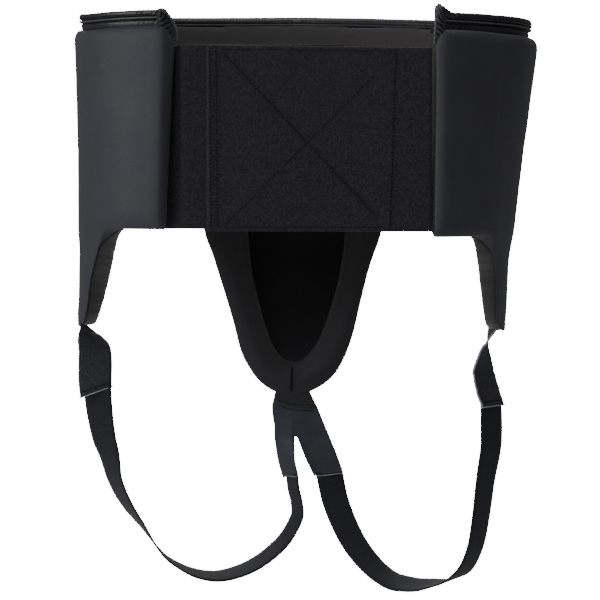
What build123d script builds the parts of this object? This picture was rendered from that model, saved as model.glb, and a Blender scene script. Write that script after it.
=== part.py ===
"""Groin protector for boxing and martial arts, closed as it is worn.

Z points up, +Y points to the wearer's belly and +X to the wearer's right. The
origin is in the middle of the waist opening, at mid-height of the rear belt.
All lengths are in millimetres.
"""

import os
from math import atan2, degrees, hypot

from build123d import *

# Waist ring, measured on its outer skin in plan
HALF_WIDTH = 197
HIP_Y = 5
BELLY_Y = 122
HIP_RADIUS = 80
WING_RADIUS = 116.6
WING_END = (-119, -105)
WING_SPLIT_Y = -74

# Pad build-up
PAD = 22
COVER = 2
LINING = 2
PAD_TOP = 94
BELLY_TOP = 106
BELLY_BOTTOM = -64
PAD_ROUND = 5
JOINT_GAP = 0.2

# Hip tongue, seen from the side
WING_BOTTOM = -82
TONGUE_TIP = -160
TONGUE_REAR_TOP = -60
TONGUE_REAR_TIP = -40
TONGUE_FRONT_TIP = 4
TONGUE_FRONT_TOP = 50

# Rolled collar and piping
COLLAR_INSET = 6
COLLAR = 15
COLLAR_RISE = 16
COLLAR_ROUND = 6
PIPING = 3.4

# Cup
CUP_BACK = 88
RIM_FLANGE = 5
RIM_DEPTH = 18
CUP_TOP = -8
CUP_SHOULDER = -62
CUP_BOTTOM = -223
CUP_HALF_WIDTH = 84
CUP_HALF_BOTTOM = 38
CUP_CORNER = 46
CUP_HOLE_SCALE = 1.012
CUP_DEPTHS = (0, 32, 56, 70)
CUP_SCALES = (1.0, 0.95, 0.76, 0.44)
CUP_COVER = 1.5
CUP_FOAM = 7
CUP_SHELL = 3.5
CUP_LINING = 1.5
HOLLOW_HALF_WIDTH = 47
HOLLOW_TOP = -30
HOLLOW_SHOULDER = -76
HOLLOW_BOTTOM = -199
HOLLOW_HALF_BOTTOM = 15

# Rear belt
BELT_HEIGHT = 160
ELASTIC = 2
PATCH = 1.4
FLAP_Y = -102
BAND_Y = -97
FLAP_FREE_X = -80
FLAP_FIXED_X = 117
BAND_FREE_X = 40
BAND_FIXED_X = -115.4
HOOK_LEFT_X = -71
HOOK_RIGHT_X = 79
LOOP_LEFT_X = -75
LOOP_RIGHT_X = 38
PATCH_HEIGHT = 150
HEM_WIDTH = 12

# Tabs and leg straps
TAB = 3
TAB_WIDTH = 30
STRAP_WIDTH = 25
STRAP = 1.8
STRAP_STATIONS = 19
STRAP_GAP = 4
CROTCH_Y = 94
LEFT_HIP_STRAP = (-176, -20, -220)
RIGHT_HIP_STRAP = (171, -20, -234)
LEFT_CROTCH_STRAP = (-5, 94, -308)
RIGHT_CROTCH_STRAP = (30, 94, -310)
CROTCH_POINTS = (
    (-18, -210),
    (-20, -248),
    (0, -262),
    (17, -300),
    (44, -300),
    (31, -262),
    (22, -243),
    (16, -210),
)

# Plan arcs of the outer skin: belly arc, hip arcs and wing arcs meet tangent
HIP_X = HALF_WIDTH - HIP_RADIUS
WING_X = HALF_WIDTH - WING_RADIUS
HALF_DEPTH = BELLY_Y - HIP_Y
BELLY_RADIUS = (HIP_X**2 + HALF_DEPTH**2 - HIP_RADIUS**2) / (2 * (HALF_DEPTH - HIP_RADIUS))
BELLY_CENTRE_Y = BELLY_Y - BELLY_RADIUS
BELLY_EDGE = HIP_X + HIP_RADIUS * HIP_X / (BELLY_RADIUS - HIP_RADIUS)
TANGENT = degrees(atan2(HIP_Y - BELLY_CENTRE_Y, -HIP_X))
SPLIT = 360 - degrees(atan2(HIP_Y - WING_SPLIT_Y, -(WING_RADIUS**2 - (WING_SPLIT_Y - HIP_Y) ** 2) ** 0.5))
END = 360 - degrees(atan2(HIP_Y - WING_END[1], WING_END[0] + WING_X))
SKIN_ARCS = (
    ((0, BELLY_CENTRE_Y), BELLY_RADIUS),
    ((-HIP_X, HIP_Y), HIP_RADIUS),
    ((-WING_X, HIP_Y), WING_RADIUS),
)


def save(part, name):
    """Write one piece to its own STEP file."""
    part.label = name
    export_step(part, f"parts/{name}.step")


def arc_strip(centre, radius, start, stop, outer, inner):
    """Face of a strip that follows an arc, between two depths under the skin."""
    with BuildSketch() as strip:
        with BuildLine():
            skin = CenterArc(centre, radius - outer, start, stop - start)
            back = CenterArc(centre, radius - inner, start, stop - start)
            Line(skin @ 0, back @ 0)
            Line(skin @ 1, back @ 1)
        make_face()
    return strip.sketch


def belly_plan(outer, inner, inset=0):
    """Plan of the belly panel between two depths."""
    turn = degrees(inset / BELLY_RADIUS)
    centre = (0, BELLY_CENTRE_Y)
    return arc_strip(centre, BELLY_RADIUS, 180 - TANGENT + turn, TANGENT - turn, outer, inner)


def hip_plan(outer, inner, inset=0):
    """Plan of the left hip pad: the hip arc and the start of the wing arc."""
    front = TANGENT + degrees(inset / HIP_RADIUS)
    rear = SPLIT - degrees((inset + JOINT_GAP) / WING_RADIUS)
    with BuildSketch() as plan:
        add(arc_strip((-HIP_X, HIP_Y), HIP_RADIUS, front, 180, outer, inner))
        add(arc_strip((-WING_X, HIP_Y), WING_RADIUS, 180, rear, outer, inner))
    return plan.sketch


def wing_plan(outer, inner, inset=0):
    """Plan of the left rear wing."""
    front = SPLIT + degrees(inset / WING_RADIUS)
    rear = END - degrees(inset / WING_RADIUS)
    return arc_strip((-WING_X, HIP_Y), WING_RADIUS, front, rear, outer, inner)


def side_outline(inset=0):
    """Block whose side view is the hip pad with its tongue."""
    with BuildPart() as block:
        with BuildSketch(Plane.YZ):
            with BuildLine():
                Polyline(
                    (-200, PAD_TOP),
                    (-200, WING_BOTTOM),
                    (TONGUE_REAR_TOP, WING_BOTTOM),
                    (TONGUE_REAR_TIP, TONGUE_TIP),
                    (TONGUE_FRONT_TIP, TONGUE_TIP),
                    (TONGUE_FRONT_TOP, BELLY_BOTTOM),
                    (200, BELLY_BOTTOM),
                    (200, PAD_TOP),
                    close=True,
                )
            outline = make_face()
            corners = outline.vertices().filter_by(lambda v: v.Z < BELLY_BOTTOM - 1 and v.Y > -199)
            tips = corners.filter_by(lambda v: v.Z < WING_BOTTOM - 1)
            rear_arch = corners.filter_by(lambda v: v.Z > WING_BOTTOM - 1)
            fillet(tips, radius=14)
            fillet(rear_arch, radius=24)
            if inset:
                offset(amount=-inset, kind=Kind.INTERSECTION)
        extrude(amount=300, both=True)
    return block.part


def wing_outline(inset=0):
    """Block that sets the height of a rear wing."""
    with BuildPart() as block:
        with Locations((0, 0, (PAD_TOP + WING_BOTTOM) / 2)):
            Box(600, 600, PAD_TOP - WING_BOTTOM - 2 * inset)
    return block.part


def front_outline(inset=0):
    """Block whose front view is the belly panel, a little higher in the middle."""
    edge = BELLY_EDGE
    with BuildPart() as block:
        with BuildSketch(Plane.XZ):
            with BuildLine():
                ThreePointArc(
                    (-edge, PAD_TOP - inset),
                    (0, BELLY_TOP - inset),
                    (edge, PAD_TOP - inset),
                )
                Line((edge, PAD_TOP - inset), (edge, BELLY_BOTTOM + inset))
                Line((edge, BELLY_BOTTOM + inset), (-edge, BELLY_BOTTOM + inset))
                Line((-edge, BELLY_BOTTOM + inset), (-edge, PAD_TOP - inset))
            make_face()
            add(cup_outline(CUP_HOLE_SCALE, -inset), mode=Mode.SUBTRACT)
        extrude(amount=300, both=True)
    return block.part


def slab(plan, bottom, height):
    """Plan shape pulled up from a height."""
    with BuildPart() as body:
        with BuildSketch(Plane.XY.offset(bottom)):
            add(plan)
        extrude(amount=height)
    return body.part


def cut(body, tool):
    """Body with a tool taken away."""
    with BuildPart() as result:
        add(body)
        add(tool, mode=Mode.SUBTRACT)
    return result.part


def layer(plan, outline):
    """One layer of the pad: its plan shape cut to its outline."""
    with BuildPart() as result:
        add(slab(plan, -200, 400))
        add(outline, mode=Mode.INTERSECT)
    return result.part


def on_rim(edge):
    """Whether an edge runs along the free rim of the outer skin."""
    middle = edge @ 0.5
    gaps = [abs(hypot(middle.X - x, middle.Y - y) - radius) for (x, y), radius in SKIN_ARCS]
    upright = abs((edge % 0.5).Z) > 0.99
    at_end = hypot(middle.X - WING_END[0], middle.Y - WING_END[1]) < 1
    return min(gaps) < 0.01 and (at_end or not upright)


def pad(name, plan, outline):
    """Cover, foam and lining of one stretch of padding, its outer rim rounded."""
    foam = layer(plan(COVER, PAD - LINING, COVER), outline(COVER))
    lining = layer(plan(PAD - LINING, PAD), outline())
    with BuildPart() as cover:
        add(layer(plan(0, PAD - LINING), outline()))
        fillet(cover.edges().filter_by(on_rim), radius=PAD_ROUND)
        add(foam, mode=Mode.SUBTRACT)
    return {f"{name}_cover": cover.part, f"{name}_foam": foam, f"{name}_lining": lining}


def cup_outline(scale, inset=0):
    """Front view of the cup: broad at the top, narrow and rounded below."""
    middle = (CUP_TOP + CUP_BOTTOM) / 2
    points = (
        (-CUP_HALF_WIDTH, CUP_TOP - middle),
        (-CUP_HALF_WIDTH, CUP_SHOULDER - middle),
        (-CUP_HALF_BOTTOM, CUP_BOTTOM - middle),
        (CUP_HALF_BOTTOM, CUP_BOTTOM - middle),
        (CUP_HALF_WIDTH, CUP_SHOULDER - middle),
        (CUP_HALF_WIDTH, CUP_TOP - middle),
    )
    factor = scale - inset / CUP_HALF_WIDTH
    with BuildSketch() as outline:
        Polygon(*[(x * factor, z * factor) for x, z in points], align=None)
        fillet(outline.vertices(), radius=CUP_CORNER * factor)
    return outline.sketch.moved(Location((0, middle, 0)))


def cup_solid(inset):
    """Solid dome of the cup, shrunk evenly by an inset."""
    with BuildPart() as dome:
        for depth, scale in zip(CUP_DEPTHS, CUP_SCALES):
            share = depth / CUP_DEPTHS[-1]
            y = CUP_BACK + RIM_FLANGE + depth - inset * share
            with BuildSketch(Plane((0, y, 0), x_dir=(1, 0, 0), z_dir=(0, -1, 0))):
                add(cup_outline(scale, inset))
        loft()
    return dome.part


def hollow_block():
    """Block as wide as the cup's opening on the wearer's side."""
    with BuildPart() as block:
        with BuildSketch(Plane.XZ) as opening:
            Polygon(
                (-HOLLOW_HALF_WIDTH, HOLLOW_TOP),
                (-HOLLOW_HALF_WIDTH, HOLLOW_SHOULDER),
                (-HOLLOW_HALF_BOTTOM, HOLLOW_BOTTOM),
                (HOLLOW_HALF_BOTTOM, HOLLOW_BOTTOM),
                (HOLLOW_HALF_WIDTH, HOLLOW_SHOULDER),
                (HOLLOW_HALF_WIDTH, HOLLOW_TOP),
                align=None,
            )
            fillet(opening.vertices(), radius=14)
        extrude(amount=300, both=True)
    return block.part


def behind(y):
    """Block of everything on the wearer's side of a depth."""
    with BuildPart() as block:
        with Locations((0, y - 200, -100)):
            Box(600, 400, 600)
    return block.part


def belt_piece(first_x, last_x, back_y, thickness, height):
    """Flat upright strip of the rear belt."""
    with BuildPart() as strip:
        with Locations(((first_x + last_x) / 2, back_y - thickness / 2, 0)):
            Box(last_x - first_x, thickness, height)
    return strip.part


def webbing(path, sides, width, thickness, stations):
    """Flat band along a path, its width turning evenly through the given sides."""
    with BuildPart() as band:
        for station in range(stations):
            share = station / (stations - 1)
            place = share * (len(sides) - 1)
            index = min(int(place), len(sides) - 2)
            blend = place - index
            along = path % share
            side = Vector(*sides[index]) * (1 - blend) + Vector(*sides[index + 1]) * blend
            side = side - along * side.dot(along)
            with BuildSketch(Plane(path @ share, x_dir=side.normalized(), z_dir=along)):
                Rectangle(width, thickness)
        loft(ruled=True)
    return band.part


def leg_strap(hip, crotch, drops, sides):
    """Strap hanging in the upright plane through its two ends."""
    points = [Vector(*hip)]
    for share, height in drops:
        x = hip[0] + (crotch[0] - hip[0]) * share
        y = hip[1] + (crotch[1] - hip[1]) * share
        points.append(Vector(x, y, height))
    points.append(Vector(*crotch))
    return webbing(Spline(*points), sides, STRAP_WIDTH, STRAP, STRAP_STATIONS)


def rolled(strip):
    """Collar piece with its upper edges rolled over."""
    with BuildPart() as result:
        add(strip)
        upper = result.edges().filter_by(lambda e: (e @ 0.5).Z > PAD_TOP + 1 and abs((e % 0.5).Z) < 0.5)
        along = upper.filter_by(lambda e: e.length > COLLAR + 5)
        fillet(along, radius=COLLAR_ROUND)
    return result.part


def rising_outline(low, high):
    """Block between two arcs that follow the belly panel's raised top."""
    edge = BELLY_EDGE
    with BuildPart() as block:
        with BuildSketch(Plane.XZ):
            with BuildLine():
                ThreePointArc((-edge, PAD_TOP + low), (0, BELLY_TOP + low), (edge, PAD_TOP + low))
                ThreePointArc((-edge, PAD_TOP + high), (0, BELLY_TOP + high), (edge, PAD_TOP + high))
                Line((-edge, PAD_TOP + low), (-edge, PAD_TOP + high))
                Line((edge, PAD_TOP + low), (edge, PAD_TOP + high))
            make_face()
        extrude(amount=300, both=True)
    return block.part


def crotch_piece():
    """Inverted Y: one straight leg, and one leg turned nearly edge-on."""
    leg = Line((-7, CROTCH_Y, -246), (LEFT_CROTCH_STRAP[0], CROTCH_Y, LEFT_CROTCH_STRAP[2] + 2 * STRAP_GAP))
    with BuildPart() as tab:
        with BuildSketch(Plane.XZ.offset(-CROTCH_Y - TAB / 2)):
            with BuildLine():
                Polyline(*CROTCH_POINTS, close=True)
            make_face()
        extrude(amount=TAB)
        add(webbing(leg, ((1, 0, 0), (0.9, -0.5, 0), (0.42, -0.91, 0)), 24, TAB - 0.2, 9))
    return tab.part


os.makedirs("parts", exist_ok=True)

# Padding of the belly, the hips and the rear wings
with BuildPart() as cup_block:
    with BuildSketch(Plane.XZ.offset(-CUP_BACK + 40)):
        add(cup_outline(CUP_HOLE_SCALE))
    extrude(amount=-150)

steps = (0, CUP_COVER, CUP_COVER + CUP_FOAM, CUP_COVER + CUP_FOAM + CUP_SHELL)
domes = [cup_solid(step) for step in steps]
domes.append(cup_solid(steps[-1] + CUP_LINING))
for name, piece in pad("belly", belly_plan, front_outline).items():
    save(piece, name)

side_pads = pad("hip", hip_plan, side_outline) | pad("wing", wing_plan, wing_outline)
for name, piece in side_pads.items():
    save(piece, f"left_{name}")
    save(mirror(piece, about=Plane.YZ), f"right_{name}")

# Cup: leather cover, foam, hard shell and lining, closed by a padded rim
save(cut(domes[0], domes[1]), "cup_cover")
with BuildPart() as right_side:
    with Locations((200, CUP_BACK, -100)):
        Box(400, 400, 600)
left_foam = cut(cut(domes[1], domes[2]), right_side.part)
save(left_foam, "left_cup_foam")
save(mirror(left_foam, about=Plane.YZ), "right_cup_foam")
save(cut(domes[2], domes[3]), "cup_shell")
save(cut(cut(domes[3], domes[4]), behind(CUP_BACK + RIM_DEPTH)), "cup_lining")

with BuildPart() as rim:
    with BuildSketch(Plane.XZ.offset(-CUP_BACK)):
        add(cup_outline(1))
    extrude(amount=-RIM_FLANGE)
    fillet(rim.edges().group_by(Axis.Y)[0], radius=4)
    add(domes[3])
    add(mirror(behind(-CUP_BACK - RIM_DEPTH), about=Plane.XZ), mode=Mode.SUBTRACT)
    add(hollow_block(), mode=Mode.SUBTRACT)
save(rim.part, "cup_rim")

# Rear belt: elastic bands, hook and loop patches, folded end
save(belt_piece(FLAP_FREE_X, FLAP_FIXED_X, FLAP_Y, ELASTIC, BELT_HEIGHT), "flap_elastic")
save(belt_piece(FLAP_FREE_X, FLAP_FREE_X + HEM_WIDTH, FLAP_Y - ELASTIC, 1.2, BELT_HEIGHT), "flap_hem")
save(belt_piece(HOOK_LEFT_X, HOOK_RIGHT_X, FLAP_Y + PATCH, PATCH, PATCH_HEIGHT), "hook_patch")
save(belt_piece(BAND_FIXED_X, BAND_FREE_X, BAND_Y, ELASTIC, BELT_HEIGHT), "band_elastic")
save(belt_piece(LOOP_LEFT_X, LOOP_RIGHT_X, BAND_Y - ELASTIC, PATCH, PATCH_HEIGHT), "loop_patch")

# Rolled collar and its piping
with BuildPart() as belly_collar:
    add(slab(belly_plan(COLLAR_INSET, COLLAR_INSET + COLLAR), 0, 300))
    add(rising_outline(0, COLLAR_RISE), mode=Mode.INTERSECT)
save(rolled(belly_collar.part), "belly_collar")
for name, plan in (("hip", hip_plan), ("wing", wing_plan)):
    piece = rolled(slab(plan(COLLAR_INSET, COLLAR_INSET + COLLAR), PAD_TOP, COLLAR_RISE))
    save(piece, f"left_{name}_collar")
    save(mirror(piece, about=Plane.YZ), f"right_{name}_collar")

with BuildPart() as belly_piping:
    add(slab(belly_plan(COLLAR_INSET - PIPING, COLLAR_INSET), 0, 300))
    add(rising_outline(0, PIPING), mode=Mode.INTERSECT)
hip_piping = slab(hip_plan(COLLAR_INSET - PIPING, COLLAR_INSET), PAD_TOP, PIPING)
with BuildPart() as front_piping:
    add(belly_piping.part)
    add(hip_piping)
    add(mirror(hip_piping, about=Plane.YZ))
save(front_piping.part, "front_piping")
wing_piping = slab(wing_plan(COLLAR_INSET - PIPING, COLLAR_INSET), PAD_TOP, PIPING)
save(wing_piping, "left_wing_piping")
save(mirror(wing_piping, about=Plane.YZ), "right_wing_piping")

# Tabs under the tongues and the cup
TURNING = ((0, 1, 0), (0.7, 0.7, 0), (1, 0, 0), (1, 0, 0), (1, 0, 0))
for side, sign, strap in (("left", -1, LEFT_HIP_STRAP), ("right", 1, RIGHT_HIP_STRAP)):
    start = (sign * 182, -22, TONGUE_TIP + 10)
    finish = (strap[0], strap[1], strap[2] + STRAP_GAP)
    sides = [(sign * x * -1, y, z) for x, y, z in TURNING]
    tab = webbing(Line(start, finish), sides, TAB_WIDTH, TAB, 13)
    for piece in (side_pads["hip_cover"], side_pads["hip_foam"], side_pads["hip_lining"]):
        tab = cut(tab, piece if side == "left" else mirror(piece, about=Plane.YZ))
    save(tab, f"{side}_hip_tab")
save(cut(crotch_piece(), cup_block.part), "crotch_tab")

# Leg straps
LEFT_DROPS = ((0.11, -296), (0.30, -352), (0.58, -385), (0.90, -364), (1.01, -332))
LEFT_SIDES = ((1, 0, 0), (0.8, -0.6, 0), (0.55, -0.83, 0), (0.45, -0.89, 0), (0.42, -0.91, 0))
RIGHT_DROPS = ((0.05, -300), (0.13, -365), (0.45, -397), (0.78, -374), (0.95, -325))
RIGHT_SIDES = ((1, 0, 0), (0.85, 0.5, 0), (0.63, 0.78, 0), (0.8, 0.6, 0), (1, 0, 0))
save(leg_strap(LEFT_HIP_STRAP, LEFT_CROTCH_STRAP, LEFT_DROPS, LEFT_SIDES), "left_leg_strap")
save(leg_strap(RIGHT_HIP_STRAP, RIGHT_CROTCH_STRAP, RIGHT_DROPS, RIGHT_SIDES), "right_leg_strap")
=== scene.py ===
"""Groin protector seen from behind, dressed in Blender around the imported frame."""

import math

import bmesh
import bpy
import numpy as np
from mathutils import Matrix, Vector, noise


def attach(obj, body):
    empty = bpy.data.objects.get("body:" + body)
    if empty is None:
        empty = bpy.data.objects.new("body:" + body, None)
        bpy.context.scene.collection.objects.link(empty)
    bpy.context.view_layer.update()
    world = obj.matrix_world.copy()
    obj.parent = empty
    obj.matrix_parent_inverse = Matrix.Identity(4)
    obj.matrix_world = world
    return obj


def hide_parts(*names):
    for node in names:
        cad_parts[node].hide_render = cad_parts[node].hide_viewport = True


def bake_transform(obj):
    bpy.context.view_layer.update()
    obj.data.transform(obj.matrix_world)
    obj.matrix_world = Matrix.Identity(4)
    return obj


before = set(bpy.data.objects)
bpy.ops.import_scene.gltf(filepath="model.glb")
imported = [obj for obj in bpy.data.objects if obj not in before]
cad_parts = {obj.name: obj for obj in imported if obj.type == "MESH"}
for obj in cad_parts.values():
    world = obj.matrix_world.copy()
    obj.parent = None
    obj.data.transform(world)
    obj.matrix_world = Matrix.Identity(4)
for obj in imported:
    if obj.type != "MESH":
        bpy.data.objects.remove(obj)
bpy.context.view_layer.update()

MM = 0.001
SIDES = {-1: "left", 1: "right"}

# Plan of the pads' outer skin, in millimetres: a belly arc, two hip arcs and two wing arcs
HALF_WIDTH = 197.0
HIP_Y = 5.0
BELLY_Y = 122.0
HIP_R = 80.0
WING_R = 116.6
REAR_X, REAR_Y = 119.0, -105.0
HALF_DEPTH = BELLY_Y - HIP_Y
BELLY_R = ((HALF_WIDTH - HIP_R) ** 2 + HALF_DEPTH**2 - HIP_R**2) / (2 * (HALF_DEPTH - HIP_R))
BELLY_TURN = math.atan2(HALF_WIDTH - HIP_R, HIP_Y - (BELLY_Y - BELLY_R))
WING_TURN = math.atan2(HIP_Y - REAR_Y, REAR_X - (HALF_WIDTH - WING_R))

# Distances round the skin from the belly's middle, in mm: panel seam, widest point, bend and rear fold
SEAM = BELLY_R * BELLY_TURN
WIDEST = SEAM + HIP_R * (math.pi / 2 - BELLY_TURN)
END = WIDEST + WING_R * WING_TURN

# Pad thickness, and the heights of its top, its front bottom edge and its rear bottom edge, in mm
PAD = 22.0
PAD_TOP = 94.0
FRONT_BOTTOM = -64.0
REAR_BOTTOM = -82.0


def mix(a, b, t):
    return a + (b - a) * t


def smoothstep(a, b, x):
    t = np.clip((np.asarray(x, float) - a) / (b - a), 0.0, 1.0)
    return t * t * (3 - 2 * t)


def skin(s, depth):
    """Plan point under the outer skin, s mm round from the belly's middle (+ is +X)."""
    s = np.asarray(s, float)
    depth = np.asarray(depth, float)
    a = np.abs(s)
    belly = a < SEAM
    hip = (a >= SEAM) & (a < WIDEST)
    on_hip = BELLY_TURN + (a - SEAM) / HIP_R
    on_wing = np.pi / 2 + (a - WIDEST) / WING_R
    turn = np.where(belly, a / BELLY_R, np.where(hip, on_hip, on_wing))
    turn = np.minimum(turn, np.pi / 2 + WING_TURN)
    over = np.maximum(a - END, 0)
    radius = np.where(belly, BELLY_R, np.where(hip, HIP_R, WING_R)) - depth
    cx = np.where(belly, 0.0, np.where(hip, HALF_WIDTH - HIP_R, HALF_WIDTH - WING_R))
    cy = np.where(belly, BELLY_Y - BELLY_R, HIP_Y)
    x = cx + radius * np.sin(turn) + over * np.cos(turn)
    y = cy + radius * np.cos(turn) - over * np.sin(turn)
    return np.where(s < 0, -x, x), y


# How far each hip and each rear edge leans in x, as (heights, shifts) in mm
LEAN = {
    "right_hip": ((-157, -138, -103, -62, 7, 88, 112), (-11, -10, -8.3, -3.5, 5, 16, 19)),
    "right_rear": ((-85, 94), (4.5, 6.8)),
    "left_hip": ((-150, -138, -93, -7, 98), (1.3, 2.2, 3.6, 3.6, 0.2)),
    "left_rear": ((-82, 100), (0.2, 4.3)),
}


def lean(x, y, z):
    """The hips aren't plumb: the right one stands out at the top and tucks in at the tongue."""
    x, y, z = (np.asarray(v, float) for v in (x, y, z))
    weight = np.maximum(smoothstep(110, 185, np.abs(x)), smoothstep(-40, -80, y))
    at_hip = smoothstep(-100, -45, y)
    right = mix(np.interp(z, *LEAN["right_rear"]), np.interp(z, *LEAN["right_hip"]), at_hip)
    left = mix(np.interp(z, *LEAN["left_rear"]), np.interp(z, *LEAN["left_hip"]), at_hip)
    return x + np.where(x > 0, right, left) * weight


# Height of the pads' top edge round each side, as (distance from the middle, height) in mm
TOP_KEYS = {
    -1: ((0, 60, 118, 174, 250, 275, 300, 394), (107, 106.5, 105.2, 103.4, 103.4, 101.2, 99.0, 97.4)),
    1: ((0, 60, 130, 174, 215, 250, 300, 394), (107, 106, 102.5, 99, 95.6, 93.4, 93.8, 94.0)),
}


def top_of(s):
    """Height of the pads' top edge at distance s round the body, averaged over 32 mm."""
    s = np.asarray(s, float)
    total = 0
    for offset in (-16, -8, 0, 8, 16):
        far = s + offset
        left = np.interp(np.abs(far), *TOP_KEYS[-1])
        right = np.interp(np.abs(far), *TOP_KEYS[1])
        total = total + np.where(far < 0, left, right)
    return total / 5


def wrap(points):
    """Flat (s, depth, z) points in mm to places in metres round the body."""
    points = np.asarray(points, float)
    x, y = skin(points[:, 0], points[:, 1])
    x = lean(x, y, points[:, 2])
    return np.stack([x, y, points[:, 2]], 1) * MM


def new_object(name, vertices, faces, material=None, smooth=True):
    mesh = bpy.data.meshes.new(name)
    mesh.from_pydata([tuple(v) for v in vertices], [], [tuple(int(i) for i in f) for f in faces])
    mesh.update()
    if smooth:
        mesh.shade_smooth()
    obj = bpy.data.objects.new(name, mesh)
    bpy.context.scene.collection.objects.link(obj)
    if material:
        mesh.materials.append(material)
    return obj


def coords(obj):
    data = np.empty(len(obj.data.vertices) * 3)
    obj.data.vertices.foreach_get("co", data)
    return data.reshape(-1, 3)


def set_coords(obj, data):
    obj.data.vertices.foreach_set("co", np.ascontiguousarray(data, float).ravel())
    obj.data.update()


def apply_modifiers(obj):
    depsgraph = bpy.context.evaluated_depsgraph_get()
    mesh = bpy.data.meshes.new_from_object(obj.evaluated_get(depsgraph))
    old = obj.data
    obj.modifiers.clear()
    obj.data = mesh
    bpy.data.meshes.remove(old)


def modify(obj, kind, **settings):
    modifier = obj.modifiers.new(kind.lower(), kind)
    for key, value in settings.items():
        setattr(modifier, key, value)
    return modifier


def fix_normals(obj):
    bm = bmesh.new()
    bm.from_mesh(obj.data)
    bmesh.ops.recalc_face_normals(bm, faces=bm.faces)
    bm.to_mesh(obj.data)
    bm.free()
    obj.data.shade_smooth()


def rounded_polygon(points, radii, step=2.0):
    """Closed outline with each corner rounded by its own radius."""
    result = []
    count = len(points)
    for i in range(count):
        p = np.array(points[i], float)
        a = np.array(points[i - 1], float) - p
        b = np.array(points[(i + 1) % count], float) - p
        la, lb = np.linalg.norm(a), np.linalg.norm(b)
        a, b = a / la, b / lb
        r = radii[i]
        half = math.acos(float(np.clip(a @ b, -1, 1))) / 2
        cut = min(r / math.tan(half), 0.49 * min(la, lb))
        r = cut * math.tan(half)
        centre = p + (a + b) / np.linalg.norm(a + b) * r / math.sin(half)
        start, stop = p + a * cut - centre, p + b * cut - centre
        a0 = math.atan2(start[1], start[0])
        turn = math.atan2(stop[1], stop[0]) - a0
        turn = (turn + math.pi) % (2 * math.pi) - math.pi
        steps = max(2, int(abs(turn) * r / step))
        for k in range(steps + 1):
            angle = a0 + turn * k / steps
            result.append(centre + r * np.array([math.cos(angle), math.sin(angle)]))
    return result


def flat_block(name, outline, front, back, voxel, rounding):
    """Closed block in flat (s, depth, z) space with softened edges."""
    n = len(outline)
    vertices = [(s * MM, d * MM, z * MM) for d in (front, back) for s, z in outline]
    faces = [list(range(n)), list(range(2 * n - 1, n - 1, -1))]
    faces += [[i, i + n, (i + 1) % n + n, (i + 1) % n] for i in range(n)]
    obj = new_object(name, vertices, faces)
    fix_normals(obj)
    modify(obj, "REMESH", mode="VOXEL", voxel_size=voxel * MM, adaptivity=0.0)
    modify(obj, "SMOOTH", factor=0.5, iterations=rounding)
    apply_modifiers(obj)
    return obj


# Cloth that swells the pads, and how many frames it runs
PAD_CLOTH = {
    "use_pressure": True,
    "uniform_pressure_force": 3.0,
    "quality": 5,
    "mass": 0.3,
    "tension_stiffness": 20,
    "compression_stiffness": 20,
    "bending_stiffness": 0.6,
}
SWELL_FRAMES = 20


def inflate(obj, cap):
    """Swells a pad as cloth under pressure, each point moving at most cap mm."""
    before = coords(obj)
    cloth = modify(obj, "CLOTH")
    for key, value in PAD_CLOTH.items():
        setattr(cloth.settings, key, value)
    cloth.settings.effector_weights.gravity = 0
    cloth.collision_settings.use_collision = False
    cloth.point_cache.frame_start = 1
    cloth.point_cache.frame_end = SWELL_FRAMES
    scene = bpy.context.scene
    for f in range(1, SWELL_FRAMES + 1):
        scene.frame_set(f)
    apply_modifiers(obj)
    scene.frame_set(1)
    move = coords(obj) - before
    length = np.linalg.norm(move, axis=1, keepdims=True)
    limit = cap * MM
    scale = np.where(length > 1e-9, limit * np.tanh(length / limit) / np.maximum(length, 1e-9), 0)
    set_coords(obj, before + move * scale)


def fbm(points, scale, seed=0.0, octaves=3):
    """Smooth noise in -1..1 at points in mm, scale is the size of its lumps in mm."""
    out = np.empty(len(points))
    for i, (x, y, z) in enumerate(points):
        place = Vector((x / scale + seed, y / scale - seed, z / scale + 2 * seed))
        out[i] = noise.fractal(place, 1.0, 2.0, octaves)
    return out


def travelled(points):
    """Distance along a path at each of its points."""
    return np.concatenate([[0], np.cumsum(np.linalg.norm(np.diff(points, axis=0), axis=1))])


def unit(vectors):
    return vectors / np.linalg.norm(vectors, axis=-1, keepdims=True)


def between(p0, p1, p2, p3, t):
    """Point from p1 (t = 0) to p2 (t = 1) on the smooth curve through four points."""
    bend = (2 * p0 - 5 * p1 + 4 * p2 - p3) * t**2
    return 0.5 * (2 * p1 + (p2 - p0) * t + bend + (3 * p1 - p0 - 3 * p2 + p3) * t**3)


def eased(keys, column, count):
    """One column of (x, y, z, ...) keys, by distance along them, with its corners eased."""
    distance = travelled(keys[:, :3])
    values = np.interp(np.linspace(0, distance[-1], count), distance, keys[:, column])
    kernel = np.hanning(13) / np.hanning(13).sum()
    return np.convolve(np.pad(values, 6, mode="edge"), kernel, "valid")


def shade(colour, factor):
    return tuple(min(1.0, c * factor) for c in colour)


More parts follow.
